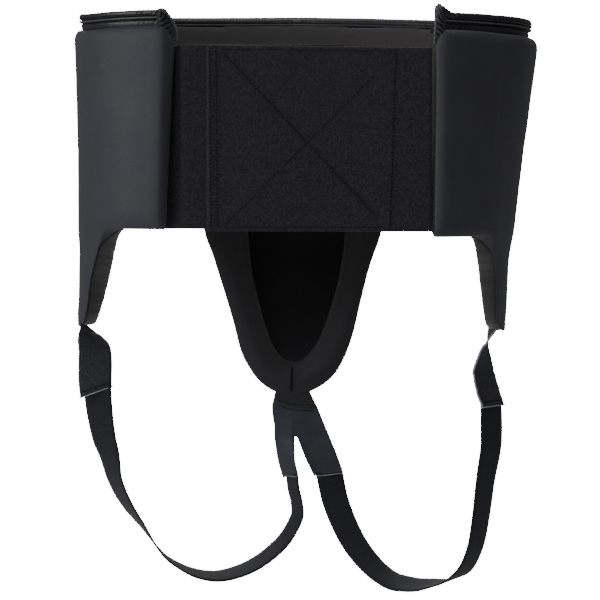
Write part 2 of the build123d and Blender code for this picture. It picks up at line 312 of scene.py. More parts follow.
class Graph:
    """The nodes of a material or world."""

    def __init__(self, tree):
        self.tree = tree

    def link(self, a, b):
        self.tree.links.new(a, b)

    def node(self, kind, **values):
        made = self.tree.nodes.new(kind)
        for key, value in values.items():
            made.inputs[key.replace("_", " ")].default_value = value
        return made

    def feed(self, socket, value):
        """Gives an input a number, a colour or a link."""
        if isinstance(value, tuple):
            socket.default_value = (*value, 1.0)
        elif isinstance(value, (int, float)):
            socket.default_value = value
        elif value is not None:
            self.link(value, socket)

    def math(self, operation, a, b=None):
        made = self.node("ShaderNodeMath")
        made.operation = operation
        self.feed(made.inputs[0], a)
        self.feed(made.inputs[1], b)
        return made.outputs[0]

    def add(self, a, b):
        return self.math("ADD", a, b)

    def times(self, a, b):
        return self.math("MULTIPLY", a, b)

    def blend(self, factor, a, b):
        made = self.node("ShaderNodeMix")
        made.data_type = "RGBA"
        for index, value in ((0, factor), (6, a), (7, b)):
            self.feed(made.inputs[index], value)
        return made.outputs[2]


class Surface(Graph):
    """A material whose textures all read one set of coordinates."""

    def __init__(self, name, roughness, sheen, specular, space="Object"):
        self.material = bpy.data.materials.new(name)
        self.material.use_nodes = True
        super().__init__(self.material.node_tree)
        self.shader = self.tree.nodes["Principled BSDF"]
        self.shader.inputs["Roughness"].default_value = roughness
        self.shader.inputs["Specular IOR Level"].default_value = specular
        self.shader.inputs["Sheen Weight"].default_value = sheen
        self.shader.inputs["Sheen Roughness"].default_value = 0.5
        self.where = self.node("ShaderNodeTexCoord").outputs[space]

    def noise(self, scale, detail=2.0, rough=0.5):
        made = self.node("ShaderNodeTexNoise", Scale=scale, Detail=detail, Roughness=rough)
        self.link(self.where, made.inputs["Vector"])
        return made.outputs["Fac"]

    def bump(self, height, strength, distance, normal=None):
        made = self.node("ShaderNodeBump", Strength=strength, Distance=distance)
        self.link(height, made.inputs["Height"])
        self.feed(made.inputs["Normal"], normal)
        return made.outputs["Normal"]

    def done(self, tone, normal):
        self.link(tone, self.shader.inputs["Base Color"])
        self.link(normal, self.shader.inputs["Normal"])
        return self.material


def leather(name, colour, roughness=0.6, grain=0.25, mottle=0.16, sheen=0.05, specular=0.4):
    """Synthetic leather: pebbled grain, faint mottling and paler rubbed patches."""
    g = Surface(name, roughness, sheen, specular)
    cells = g.node("ShaderNodeTexVoronoi", Scale=950.0)
    g.link(g.where, cells.inputs["Vector"])
    broad, fine = g.noise(22.0, 3.0), g.noise(620.0)
    tone = g.blend(broad, shade(colour, 1 - mottle), shade(colour, 1 + mottle))
    tone = g.blend(g.times(fine, 0.35), tone, shade(colour, 0.55))
    g.link(g.add(g.times(broad, 0.16), roughness - 0.08), g.shader.inputs["Roughness"])
    pebbles = g.bump(g.add(cells.outputs["Distance"], g.times(fine, 0.6)), grain, 0.0004)
    return g.done(tone, g.bump(g.noise(60.0), 0.25, 0.0012, pebbles))


def microfibre(name, colour, warm, nap=0.35, sheen=0.25):
    """Brushed lining cloth: short nap and soft lighter smudges."""
    g = Surface(name, 0.9, sheen, 0.2)
    fine = g.noise(1500.0, 3.0, 0.7)
    tone = g.blend(g.noise(30.0, 4.0, 0.6), colour, warm)
    tone = g.blend(g.times(fine, 0.4), tone, shade(colour, 0.6))
    return g.done(tone, g.bump(fine, nap, 0.0003))


def ribbed(name, colour, pitch, cross, contrast, axis=0, depth=0.5, use_uv=False):
    """Woven elastic: ribs of one pitch crossed by finer picks, sizes in metres."""
    g = Surface(name, 0.8, 0.1, 0.25, "UV" if use_uv else "Object")
    split = g.node("ShaderNodeSeparateXYZ")
    g.link(g.where, split.inputs[0])

    def wave(distance, length):
        return g.math("SINE", g.times(distance, 2 * math.pi / length))

    ribs = wave(g.add(split.outputs[axis], g.times(g.noise(420.0), pitch * 1.5)), pitch)
    picks = wave(split.outputs[1 - axis if use_uv else 2], cross)
    weave = g.add(g.times(ribs, 0.45), g.times(picks, ribs))
    level = g.add(g.times(weave, 0.25), 0.5)
    fuzz = g.noise(1400.0, 2.0, 0.7)
    fleck = g.node("ShaderNodeMapRange", From_Min=0.38, From_Max=0.62)
    g.link(g.noise(560.0, 1.0), fleck.inputs["Value"])
    tone = g.blend(level, shade(colour, 1 - contrast), shade(colour, 1 + contrast))
    tone = g.blend(g.times(g.noise(35.0, 3.0), 0.35), tone, shade(colour, 0.7))
    tone = g.blend(g.times(fuzz, 0.25), tone, shade(colour, 1.6))
    tone = g.blend(g.times(fleck.outputs["Result"], 0.75), tone, shade(colour, 1 - contrast * 0.85))
    return g.done(tone, g.bump(level, depth, 0.0004, g.bump(fuzz, 0.2, 0.0003)))


def plain(name, colour, roughness, noise_scale=400.0, strength=0.2, specular=0.4):
    """Thread, cut edges and floor: small noise in colour and relief."""
    g = Surface(name, roughness, 0.0, specular)
    fine = g.noise(noise_scale, 3.0)
    return g.done(g.blend(fine, shade(colour, 0.75), shade(colour, 1.25)), g.bump(fine, strength, 0.0002))


OUTER = leather("outer_leather", (0.034, 0.034, 0.046), 0.6, 0.25, 0.2)
BINDING = leather("binding_leather", (0.018, 0.018, 0.023), 0.4, 0.3, 0.2, 0.0, 0.5)
# Piping leather: paler than the binding leather, its pale colour a painted highlight on the piping cords and
# the rolled rear tails
PIPING_PAINTED_HIGHLIGHT = leather("piping_leather_painted_highlight", (0.07, 0.07, 0.078), 0.38, 0.15, 0.15, 0.0, 0.6)
TAB_SKIN = leather("tab_leather", (0.028, 0.029, 0.046), 0.6, 0.2, 0.15)
LINING_CLOTH = microfibre("lining_microfibre", (0.038, 0.035, 0.036), (0.058, 0.053, 0.054), sheen=0.7)
RIM_CLOTH = microfibre("rim_microfibre", (0.031, 0.030, 0.034), (0.044, 0.041, 0.045), 0.25, 0.08)
# Pocket cloth: a darker copy of the rim cloth, painted shade for the cup's hollow
POCKET_CLOTH_PAINTED_SHADE = microfibre("pocket_microfibre_painted_shade", (0.026, 0.024, 0.028), (0.036, 0.033, 0.038), sheen=0.1)
HOOKS = microfibre("hook_and_loop", (0.010, 0.010, 0.011), (0.018, 0.018, 0.02), 1.0)
ELASTIC = ribbed("elastic_belt", (0.024, 0.023, 0.031), 0.0022, 0.0018, 0.85, depth=1.0)
WEBBING = ribbed("strap_webbing", (0.017, 0.0172, 0.0225), 0.0016, 0.0012, 0.4, use_uv=True)
TAB_WEB = ribbed("tab_webbing", (0.038, 0.038, 0.050), 0.0026, 0.0016, 0.6, 1, 1.0, True)
THREAD = plain("thread", (0.003, 0.003, 0.004), 0.7, specular=0.15)
EDGE = plain("cut_edge", (0.28, 0.29, 0.33), 0.8, 900.0)


def finish_piece(obj, body, slot, replaces=(), material=None):
    """Gives a piece its material, the body it rides and the CAD nodes it stands for; slot is not used."""
    if material is not None:
        obj.data.materials.clear()
        obj.data.materials.append(material)
    if body:
        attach(obj, body)
    if replaces:
        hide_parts(*replaces)


def subdivide(obj):
    modify(obj, "SUBSURF", levels=1, render_levels=1)
    apply_modifiers(obj)
    obj.data.shade_smooth()


def blend_wing(obj):
    """Bakes a side piece's transform into its mesh."""
    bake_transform(obj)


# Depths of a side pad's two faces before shaping, in mm
LEATHER_FACE, LINING_FACE = 1.0, 22.4

# How far the folded rear end reaches past the fold, how steeply it turns in, and how much its top drops
FOLDED_END = {-1: (13.0, 0.68, 14.0), 1: (10.0, 0.20, 13.0)}


# Where the front edge of each tongue leaves the pad, as its distance round the body in mm
TONGUE_FRONT = {-1: 197, 1: 190}
# The rest of each tongue: distance round, height and corner radius, in mm
TONGUES = {
    -1: ((240, -144, 18), (264, -163, 16), (297, -162, 20), (306, -126, 45), (332, -82, 24)),
    1: ((236, -138, 25), (266, -167, 20), (300, -166, 24), (306, -118, 30), (330, -82, 22)),
}


def side_shape(side, grow, rear):
    """Outline of a hip pad with its tongue, in flat (s, z)."""
    back, top, front, bottom = END + grow + rear, PAD_TOP + grow, SEAM - grow, FRONT_BOTTOM - grow
    points = [(back, top, 4), (front, top, 3), (front, bottom, 3)]
    points.append((TONGUE_FRONT[side] - grow * 0.6, bottom, 10))
    for i, (s, z, radius) in enumerate(TONGUES[side]):
        points.append((s + (-0.9 if i == 0 else 0.9) * grow, z - grow, radius))
    points.append((back, REAR_BOTTOM - grow, 5))
    return rounded_polygon([(side * s, z) for s, z, radius in points], [radius for s, z, radius in points])


def fold_end(s, d, z, side):
    """Turns the pad in past its rear fold, into a narrow flat end."""
    length, slope, drop = FOLDED_END[side]
    reach = np.abs(s) - END
    up = np.clip((z - REAR_BOTTOM) / (PAD_TOP - REAR_BOTTOM), 0, 1)
    narrow = mix(0.65, 1.0, up) if side < 0 else 1.0
    reach = np.where(reach > 0, reach * narrow, reach)
    over = (reach + np.sqrt(reach**2 + 3.0)) / 2
    d = d + over * (slope * (PAD - d) / PAD - 0.5 * np.clip(d, 0, PAD) / PAD)
    s = side * (END + reach - 0.35 * d * smoothstep(-2, 8, reach))
    z = z - drop * over / length * smoothstep(50, 92, z)
    return s, d, z


def soften(data, side):
    """Gentle unevenness of a padded side in flat space, and its thinner tongue tip."""
    s, d, z = data.T
    thin = smoothstep(-112, -160, z)
    d = d - (d - 2) * thin * 0.3
    ripple = fbm(np.stack([s, d * 0.2, z], 1), 55.0, 3.1 + side)
    outer = smoothstep(14, 4, d)
    d = d + ripple * 0.5 * outer
    s, d, z = fold_end(s, d, z, side)
    z = z + smoothstep(0, PAD_TOP, z) * (top_of(s) - PAD_TOP)
    rear_bottom = smoothstep(-20, REAR_BOTTOM, z) * smoothstep(296, 325, np.abs(s))
    z = z + rear_bottom * (3.5 if side < 0 else -3.0)
    return np.stack([s, d, z], 1)


def tongue_edge(data, inner):
    """On the tongue the lining wraps the edge; at the rear end the leather does."""
    share = smoothstep(-74, -98, data[:, 2])
    d = data[:, 1]
    target = LINING_FACE - (LINING_FACE - d) * 3.7 if inner else LEATHER_FACE + (d - LEATHER_FACE) * 0.1
    data[:, 1] = mix(d, target, share)
    if not inner:
        rear = smoothstep(END - 14, END - 6, np.abs(data[:, 0])) * (1 - share)
        data[:, 1] = mix(data[:, 1], LEATHER_FACE + (data[:, 1] - LEATHER_FACE) * 1.2, rear)
    return data


def side_pad(side):
    """Leather half of a hip pad and its rear wing in one skin, and its lining."""
    name = SIDES[side]
    outline = side_shape(side, -0.6, FOLDED_END[side][0])
    pad = flat_block(f"{name}_side_pad", outline, LEATHER_FACE, 18.6, 3.0, 3)
    inflate(pad, 1.6)
    subdivide(pad)
    data = soften(tongue_edge(coords(pad) / MM, False), side)
    set_coords(pad, wrap(data))
    cad = (f"{name}_hip_cover", f"{name}_hip_foam", f"{name}_wing_cover", f"{name}_wing_foam")
    finish_piece(pad, None, "outer_leather", cad, OUTER)
    blend_wing(pad)

    outline = side_shape(side, -1.6, -9.0)
    lining = flat_block(f"{name}_side_lining", outline, 17.0, LINING_FACE, 3.0, 2)
    subdivide(lining)
    data = coords(lining) / MM
    data[:, 2] += 8.5 * smoothstep(60, 90, data[:, 2])
    data = soften(tongue_edge(data, True), side)
    set_coords(lining, wrap(data))
    cad = (f"{name}_hip_lining", f"{name}_wing_lining")
    finish_piece(lining, None, "lining_microfibre", cad, LINING_CLOTH)
    blend_wing(lining)


# Notch in the belly panel above the cup, as corners in (x, z) mm, all of one radius
NOTCH = [(-82.5, -10), (-82.5, -62), (-37, -240), (37, -240), (82.5, -62), (82.5, -10)]
NOTCH_RADIUS = 44


def polar(outline, centre, angles):
    """Distances from a centre to an outline along given angles."""
    points = []
    for a, b in zip(outline, outline[1:] + outline[:1]):
        steps = max(1, int(np.linalg.norm(np.subtract(b, a))))
        points += [np.add(a, np.subtract(b, a) * k / steps) for k in range(steps)]
    points = np.array(points) - np.array(centre)
    turn = np.arctan2(points[:, 1], points[:, 0])
    far = np.hypot(points[:, 0], points[:, 1])
    order = np.argsort(turn)
    return np.interp(angles, turn[order], far[order], period=2 * np.pi)


def belly_pad():
    """Leather belly panel and its lining, notched over the cup."""
    edge, bottom = SEAM - 1.2, -63
    notch = rounded_polygon(NOTCH, [NOTCH_RADIUS] * len(NOTCH), 1.5)
    notch = [(BELLY_R * math.asin(x / BELLY_R), z) for x, z in notch if z > FRONT_BOTTOM]
    notch = sorted(notch, key=lambda p: math.atan2(p[1] + 62, p[0]))
    outline = [(s, float(top_of(s)) - 1.2) for s in np.linspace(-edge, edge, 40)]
    outline += [(edge, bottom), (notch[0][0] + 1, bottom)]
    outline += notch
    outline += [(notch[-1][0] - 1, bottom), (-edge, bottom)]
    pad = flat_block("belly_pad", outline, LEATHER_FACE, 19.0, 4.0, 5)
    inflate(pad, 1.8)
    subdivide(pad)
    set_coords(pad, wrap(coords(pad) / MM))
    finish_piece(pad, "front_pad", "outer_leather", ("belly_cover", "belly_foam"), OUTER)
    lapped = [(s + math.copysign(3.6, s) if abs(s) > SEAM - 2 else s, z) for s, z in outline]
    lining = flat_block("belly_lining_cloth", lapped, 17.5, 22.2, 3.5, 3)
    subdivide(lining)
    data = coords(lining) / MM
    data[:, 2] += 9.6 * smoothstep(70, 100, data[:, 2])
    set_coords(lining, wrap(data))
    finish_piece(lining, "front_pad", "lining_microfibre", ("belly_lining",), LINING_CLOTH)


def ring_faces(count, size, caps=True):
    """Faces over rings of points that each close on themselves."""
    faces = []
    for i in range(count - 1):
        for k in range(size):
            n = (k + 1) % size
            faces.append((i * size + k, i * size + n, (i + 1) * size + n, (i + 1) * size + k))
    if caps:
        faces += [tuple(range(size)), tuple(range((count - 1) * size, count * size))]
    return faces


def sweep(name, rings, material, caps=True):
    """Skin over rings of points, in metres."""
    rings = np.asarray(rings, float)
    count, size, _ = rings.shape
    obj = new_object(name, rings.reshape(-1, 3), ring_faces(count, size, caps), material)
    fix_normals(obj)
    return obj


# Section of the collar's roll and its binding, as (depth, height) in mm
COLLAR_PROFILE = [
    (9.2, -4.0), (8.8, -1.0), (8.2, 1.0), (8.1, 3.0), (8.4, 4.6), (9.4, 5.3), (10.0, 5.8), (9.2, 6.2),
    (7.6, 6.5), (6.9, 7.0), (6.9, 7.6), (7.6, 8.1), (9.0, 8.4), (9.9, 8.7), (9.3, 9.1), (7.8, 9.4),
    (6.9, 10.1), (6.6, 11.4), (6.6, 13.2), (6.7, 14.6), (7.5, 15.9), (9.6, 16.5), (12.4, 16.6), (15.0, 16.4),
    (17.5, 15.6), (19.5, 14.2), (20.7, 12.6), (21.0, 11.2), (20.6, 10.3), (19.9, 9.9), (20.9, 9.6),
    (21.6, 9.0), (21.6, 8.4), (20.9, 7.9), (19.6, 7.7), (18.4, 7.2), (18.2, 6.0), (18.6, 3.0), (18.8, 0.0),
    (18.8, -4.0),
]
# Height of the collar round each side, as (distance from the middle, height) in mm
COLLAR_RISES = {
    -1: ((0, 174, 250, 394), (16.2, 14.8, 12.6, 12.2)),
    1: ((0, 174, 250, 394), (16.2, 15.4, 15.0, 13.6)),
}
# Height of COLLAR_PROFILE's roll as drawn, which COLLAR_RISES stretches
PROFILE_HEIGHT = 16.0


def collar_place(s):
    """At s: how far the collar is pushed in, the height of its foot, and its stretch upwards."""
    a = abs(s)
    inward = (-2.6 if s < 0 else 0.6) * float(smoothstep(190, 240, a))
    foot = float(top_of(s)) - 0.5
    rise = float(np.interp(a, *COLLAR_RISES[-1 if s < 0 else 1])) / PROFILE_HEIGHT
    return inward, foot, rise


def collar_rings(s_values, side, gather):
    """Sections of a collar; side 0 is the belly's, the others narrow into a rear tip."""
    rings = []
    for s in s_values:
        a = abs(s)
        inward, foot, rise = collar_place(s)
        tip = float(smoothstep(END - 13, END - 1, a))
        shear = side * (3.5 if side < 0 else 3.2) / PAD * float(smoothstep(END - 30, END, a))
        folds = math.sin(s * 0.37)
        ring = []
        for d, z in COLLAR_PROFILE:
            if side and z > 2:
                z -= tip * max(d - 8, 0) * (0.45 if side < 0 else 0.1)
                d = 7 + (d - 7) * (1 - tip * (0.35 if side < 0 else 0.75))
            crimp = math.sin(s * 1.35 + z * 0.5) * (0.5 + 0.5 * folds) + 0.5 * math.sin(s * 2.3 - z)
            pull = gather(a) * crimp
            wave = 0.3 * noise.noise(Vector((s / 14.0, d / 6.0, z / 6.0)))
            bulge = (d - 13.0) / 7.0
            height = z * rise + 0.4 * pull
            if side > 0:
                height += tip * max(z, 0) * 0.34
            ring.append((s + shear * d, d + inward + (pull + wave) * bulge, foot + height))
        rings.append(wrap(ring))
    return rings


def side_collar(side):
    """Rolled leather collar over a side pad, gathered towards its rear end."""
    name = SIDES[side]
    s_values = [side * s for s in np.linspace(SEAM + 0.2, END + (0.0 if side < 0 else 4.0), 236)]

    def gather(a):
        return 0.1 + 0.7 * float(smoothstep(END - 45, END - 8, a))

    collar = sweep(f"{name}_collar_roll", collar_rings(s_values, side, gather), BINDING)
    cad = (f"{name}_hip_collar", f"{name}_wing_collar", f"{name}_wing_piping")
    finish_piece(collar, None, "binding_leather", cad)
    blend_wing(collar)


def collar_line(side, s_values, depth, height):
    """Points in metres along a side collar, at a depth and a height on its profile."""
    path = []
    for s in s_values:
        inward, foot, rise = collar_place(side * s)
        path.append(wrap([(side * s, depth + inward, foot + height * rise)])[0])
    return path


def collar_piping(side):
    """Thin shiny cord between a collar's roll and the pad; its pale colour is painted highlight."""
    name = SIDES[side]
    s_values = np.linspace(SEAM + 1, END + (-1.0 if side < 0 else 3.0), 150)
    path = np.array(collar_line(side, s_values, 7.0, 7.5)) / MM
    cord = tube(f"{name}_collar_piping", path, [0.85] * len(path), PIPING_PAINTED_HIGHLIGHT, 8)
    finish_piece(cord, None, "binding_leather")
    blend_wing(cord)


def belly_collar():
    s_values = np.linspace(-SEAM, SEAM, 300)
    collar = sweep("belly_collar_roll", collar_rings(s_values, 0, lambda a: 0.1), BINDING)
    finish_piece(collar, "front_pad", "binding_leather", ("belly_collar", "front_piping"))


# Cup seen from behind, in mm: outer edge of the padded rim, and the mouth of the hollow
RIM_OUTLINE = [
    (-56, -8), (-78, -14), (-86, -40), (-85.2, -73.9), (-77.4, -96.8), (-68.7, -124.3), (-59.5, -154.5),
    (-51.3, -185.6), (-43, -201.2), (-34.8, -212.2), (-21, -221.8), (-4.6, -223.6), (11.9, -221.8),
    (29.8, -210.8), (40.8, -195.7), (50.4, -171.9), (58.6, -138), (66.9, -105.9), (76.9, -76.6), (81, -45),
    (76, -15), (56, -8),
]
MOUTH_OUTLINE = [
    (-26, -30), (-42, -38), (-47.5, -56), (-47.2, -76.6), (-43.6, -112), (-37.6, -138), (-30.7, -163.6),
    (-21, -187.4), (-9.5, -197.5), (-1.5, -198.8), (6.4, -195.7), (20.2, -179.2), (29.8, -155.4),
    (38, -127.9), (44, -96.8), (45.8, -76.6), (46, -54), (40, -37), (24, -30),
]
# Rows of the padded rim from its outer wall to its face, as (share of RIM_OUTLINE, y in mm)
RIM_WALL = ((0.985, 100.0), (1.0, 97.0), (1.004, 94.0), (1.0, 91.2), (0.985, 89.0), (0.962, 87.6))
# Rows from the face into the hollow, as (share of MOUTH_OUTLINE, y in mm)
MOUTH_WALL = ((1.0, 94.0), (0.972, 97.6), (0.955, 102.0), (0.955, 106.0), (0.98, 109.5), (1.04, 112.0))


def closed_curve(points):
    """Smooth closed curve through the points."""
    points = np.asarray(points, float)
    count = len(points)
    result = []
    for i in range(count):
        near = [points[(i + k) % count] for k in (-1, 0, 1, 2)]
        for t in np.linspace(0, 1, 10, endpoint=False):
            result.append(tuple(between(*near, t)))
    return result


def cup():
    """Cup: leather dome, padded rim and pocket, as three skins; the pocket's darker cloth is painted shade of
    the hollow.
    """
    count = 144
    angles = np.linspace(-np.pi, np.pi, count, endpoint=False) + 1e-4
    centre = (-2.0, -112.0)
    outer = polar(closed_curve(RIM_OUTLINE), centre, angles)
    inner = polar(closed_curve(MOUTH_OUTLINE), centre, angles)

    def ring(radius, y, drop=0.0):
        x = centre[0] + radius * np.cos(angles)
        z = centre[1] + radius * np.sin(angles) + drop
        return np.stack([x, np.full(count, y), z], 1) * MM

    dome = []
    for t in [k / 25 for k in range(26)]:
        a = t * math.pi / 2
        swell = max(math.cos(a) ** 0.62, 0.001)
        dome.append(ring(outer * swell, 93 + 69.5 * math.sin(a) ** 1.15, 6 * t * t))
    obj = sweep("cup_leather_dome", dome, OUTER, caps=False)
    cad = ("cup_cover", "left_cup_foam", "right_cup_foam", "cup_shell")
    finish_piece(obj, "front_pad", "outer_leather", cad)

    rows = [(outer * share, y) for share, y in RIM_WALL]
    for t in (0.1, 0.2, 0.3, 0.4, 0.5, 0.6, 0.7, 0.8, 0.9):
        crown = 87.0 - 2.6 * math.sin(math.pi * min(1, t * 1.5)) + 13.0 * max(0, t - 0.42) ** 1.7
        rows.append((mix(outer * 0.955, inner, t), crown))
    rows += [(inner * share, y) for share, y in MOUTH_WALL]
    rows.append((mix(inner, outer * 0.8, 0.35), 113.0))
    obj = sweep("cup_padded_rim", [ring(r, y) for r, y in rows], RIM_CLOTH, caps=False)
    subdivide(obj)
    finish_piece(obj, "front_pad", "lining_microfibre", ("cup_rim",))

    pocket = []
    for t in [k / 17 for k in range(18)]:
        a = t * math.pi / 2
        swell = max(math.cos(a) ** 0.7, 0.001)
        pocket.append(ring(mix(outer * 0.8, inner, 0.3) * swell, 108 + 36 * math.sin(a)))
    # The pocket's darker cloth is painted shade of the hollow
    obj = sweep("cup_pocket", pocket, POCKET_CLOTH_PAINTED_SHADE, caps=False)
    finish_piece(obj, "front_pad", "lining_microfibre", ("cup_lining",))


def ribbon(name, centres, sides, width, thickness, material, square=True):
    """Flat band with rounded edges along centres (mm), its width lying along sides."""
    centres = np.asarray(centres, float)
    sides = np.asarray(sides, float)
    widths = np.broadcast_to(width, len(centres))
    tangents = unit(np.gradient(centres, axis=0))
    if square:
        sides = sides - tangents * np.sum(sides * tangents, axis=1, keepdims=True)
    sides = unit(sides)
    ups = unit(np.cross(tangents, sides))
    across = np.linspace(-0.5, 0.5, 9)
    distance = travelled(centres)
    rings, marks = [], []
    for i, centre in enumerate(centres):
        ring = []
        for face, order in ((1, across), (-1, across[::-1])):
            for a in order:
                height = face * thickness / 2 * (1 - 0.35 * (abs(a) * 2) ** 8)
                ring.append(centre + sides[i] * a * widths[i] + ups[i] * height)
                marks.append((a * widths[i] * MM, distance[i] * MM))
        rings.append(np.array(ring) * MM)
    faces = ring_faces(len(centres), 2 * len(across))
    obj = new_object(name, np.array(rings).reshape(-1, 3), faces, material)
    layer = obj.data.uv_layers.new(name="weave")
    for loop in obj.data.loops:
        layer.data[loop.index].uv = marks[loop.vertex_index]
    fix_normals(obj)
    return obj


def smooth_path(points, count):
    """Even points along a smooth curve through the given ones."""
    points = np.asarray(points, float)
    extended = np.vstack([2 * points[0] - points[1], points, 2 * points[-1] - points[-2]])
    fine = []
    for i in range(1, len(extended) - 2):
        for t in np.linspace(0, 1, 40, endpoint=False):
            fine.append(between(*extended[i - 1 : i + 3], t))
    fine.append(extended[-2])
    fine = np.array(fine)
    length = travelled(fine)
    at = np.linspace(0, length[-1], count)
    return np.stack([np.interp(at, length, fine[:, i]) for i in range(3)], 1)


def joined(name, parts, material):
    """One object from many (vertices, faces) lists, in metres."""
    vertices, faces = [], []
    for points, polygons in parts:
        start = len(vertices)
        vertices += [tuple(p) for p in points]
        faces += [tuple(i + start for i in f) for f in polygons]
    obj = new_object(name, vertices, faces, material)
    fix_normals(obj)
    return obj


def capsule(a, b, radius, sides=6):
    """Points and faces of one stitch from a to b."""
    a, b = Vector(a), Vector(b)
    along = (b - a).normalized()
    side = along.cross(Vector((0, 1, 0)))
    if side.length < 0.1:
        side = along.cross(Vector((1, 0, 0)))
    side.normalize()
    up = along.cross(side)
    profile = ((-0.1, 0.35), (0.06, 0.85), (0.5, 1.0), (0.94, 0.85), (1.1, 0.35))
    points = []
    for t, r in profile:
        middle = a.lerp(b, t)
        for k in range(sides):
            turn = 2 * math.pi * k / sides
            points.append(middle + (side * math.cos(turn) + up * math.sin(turn)) * radius * r)
    return points, ring_faces(len(profile), sides)


def stitch_row(path, pitch, length, radius):
    """Stitches along a path given in metres; sizes in mm."""
    path = np.asarray(path, float)
    distance = travelled(path)
    result = []
    for i in range(int(distance[-1] / (pitch * MM))):
        start = (i + 0.15) * pitch * MM
        ends = [[np.interp(d, distance, path[:, k]) for k in range(3)] for d in (start, start + length * MM)]
        result.append(capsule(*ends, radius * MM))
    return result


def tube(name, points, radii, material, sides=10):
    """Round tube along points in mm with its own radius at each."""
    points = np.asarray(points, float)
    rings = []
    side = None
    for point, tangent, radius in zip(points, np.gradient(points, axis=0), radii):
        along = Vector(tangent).normalized()
        if side is None:
            side = along.orthogonal().normalized()
        side = (side - along * side.dot(along)).normalized()
        up = along.cross(side)
        ring = []
        for k in range(sides):
            turn = 2 * math.pi * k / sides
            out = (side * math.cos(turn) + up * math.sin(turn)) * radius
            ring.append(tuple((Vector(point) + out) * MM))
        rings.append(ring)
    return sweep(name, rings, material)


def belt_wave(x, z, size, seed):
    """Slow in-and-out waviness of the elastic, in mm."""
    return size * noise.noise(Vector((x / 55.0 + seed, z / 75.0, seed)))


def belt(name, x0, x1, face, thickness, low, high, wave, seed, step=3.0, tuck=None):
    """Upright elastic slab: face is the y of its outer face, low and high its edges along x."""
    rings = []
    half = thickness / 2
    for x in np.linspace(x0, x1, max(3, int((x1 - x0) / step))):
        outer = face + (tuck(x) if tuck else 0.0)
        bottom, top = low(x) + half, high(x) - half
        heights = np.linspace(bottom, top, 44)
        turns = [math.radians(turn) for turn in (45, 90, 135)]
        ring = [(x, outer + belt_wave(x, z, wave, seed), z) for z in heights]
        for a in turns:
            y = outer + half - half * math.cos(a) + belt_wave(x, top, wave, seed)
            ring.append((x, y, top + half * math.sin(a)))
        ring += [(x, outer + thickness + belt_wave(x, z, wave, seed), z) for z in heights[::-1]]
        for a in turns:
            y = outer + half + half * math.cos(a) + belt_wave(x, bottom, wave, seed)
            ring.append((x, y, bottom - half * math.sin(a)))
        rings.append(np.array(ring) * MM)
    return sweep(name, rings, ELASTIC)


# Rear flap: its two ends in x, its outer face in y, and its waviness and seed
FLAP_LEFT, FLAP_RIGHT = -78.0, 114.8
FLAP_FACE = -104.0
FLAP_WAVE = (0.9, 4.0)


def flap_top(x):
    return 78.9 - 2.4 * (x - FLAP_LEFT) / 195


def flap_low(x):
    return -79.6 - 0.4 * (x - FLAP_LEFT) / 195


def closure():
    """Elastic flap with its folded hem and stitches, and the left band that it closes over."""
    flap_ends = (FLAP_LEFT + 1.5, FLAP_RIGHT)
    flap = belt("flap_elastic_web", *flap_ends, FLAP_FACE, 2.0, flap_low, flap_top, *FLAP_WAVE)
    finish_piece(flap, "closure_flap", "elastic_webbing", ("flap_elastic",))

    def hem_low(x):
        return flap_low(x) + 0.3

    def hem_top(x):
        return flap_top(x) - 0.4

    hem_ends = (FLAP_LEFT + 0.9, FLAP_LEFT + 12.5)
    hem = belt("flap_folded_hem", *hem_ends, -101.9, 1.4, hem_low, hem_top, 0.35, FLAP_WAVE[1], 1.2)
    finish_piece(hem, "closure_flap", "elastic_webbing", ("flap_hem",))

    def row(x0, z0, x1, z1, lift):
        points = []
        for t in np.linspace(0, 1, 60):
            x, z = mix(x0, x1, t), mix(z0, z1, t)
            y = FLAP_FACE - 0.15 - lift + belt_wave(x, z, *FLAP_WAVE)
            points.append(np.array((x, y, z)) * MM)
        return points

    top_left, low_left = flap_top(-60) - 3.5, flap_low(-60) + 3.5
    parts = []
    for x in (-74.4, -68.7):
        parts += stitch_row(row(x, 77, x + 1.2, -78, 0.45), 2.9, 0.9, 0.75)
    parts += stitch_row(row(84, 75, 79, -78, 0.45), 2.9, 0.9, 0.7)
    parts += stitch_row(row(-61, 70, 66, -66, 0.4), 2.9, 0.9, 0.65)
    parts += stitch_row(row(66, 53, -61, -74, 0), 2.6, 1.3, 0.3)
    parts += stitch_row(row(-64, top_left, 82, top_left - 1.6, 0), 2.6, 1.3, 0.36)
    parts += stitch_row(row(-62, low_left, 78, low_left, 0), 2.6, 1.3, 0.36)
    thread = joined("flap_stitching", parts, THREAD)
    finish_piece(thread, "closure_flap", "elastic_webbing")

    def band_low(x):
        return -77.0 - 0.6 * (x + 115) / 40

    def tuck(x):
        return 15.0 * float(smoothstep(-97, -108, x))

    band = belt("left_band_web", -114, 40, -99.0, 2.0, band_low, lambda x: 79.8, 0.4, 9.0, tuck=tuck)
    finish_piece(band, "left_band", "elastic_webbing", ("band_elastic",))


def inside_panel():
    """Stitch line of the front binding, seen past the belt."""
    parts = []
    for side in SIDES:
        line = [(side * s, 21.1, float(top_of(side * s)) + 12.6) for s in np.linspace(4, SEAM - 8, 90)]
        parts += stitch_row(wrap(line), 3.0, 1.9, 0.34)
    thread = joined("front_binding_stitching", parts, THREAD)
    finish_piece(thread, "front_pad", "binding_leather")


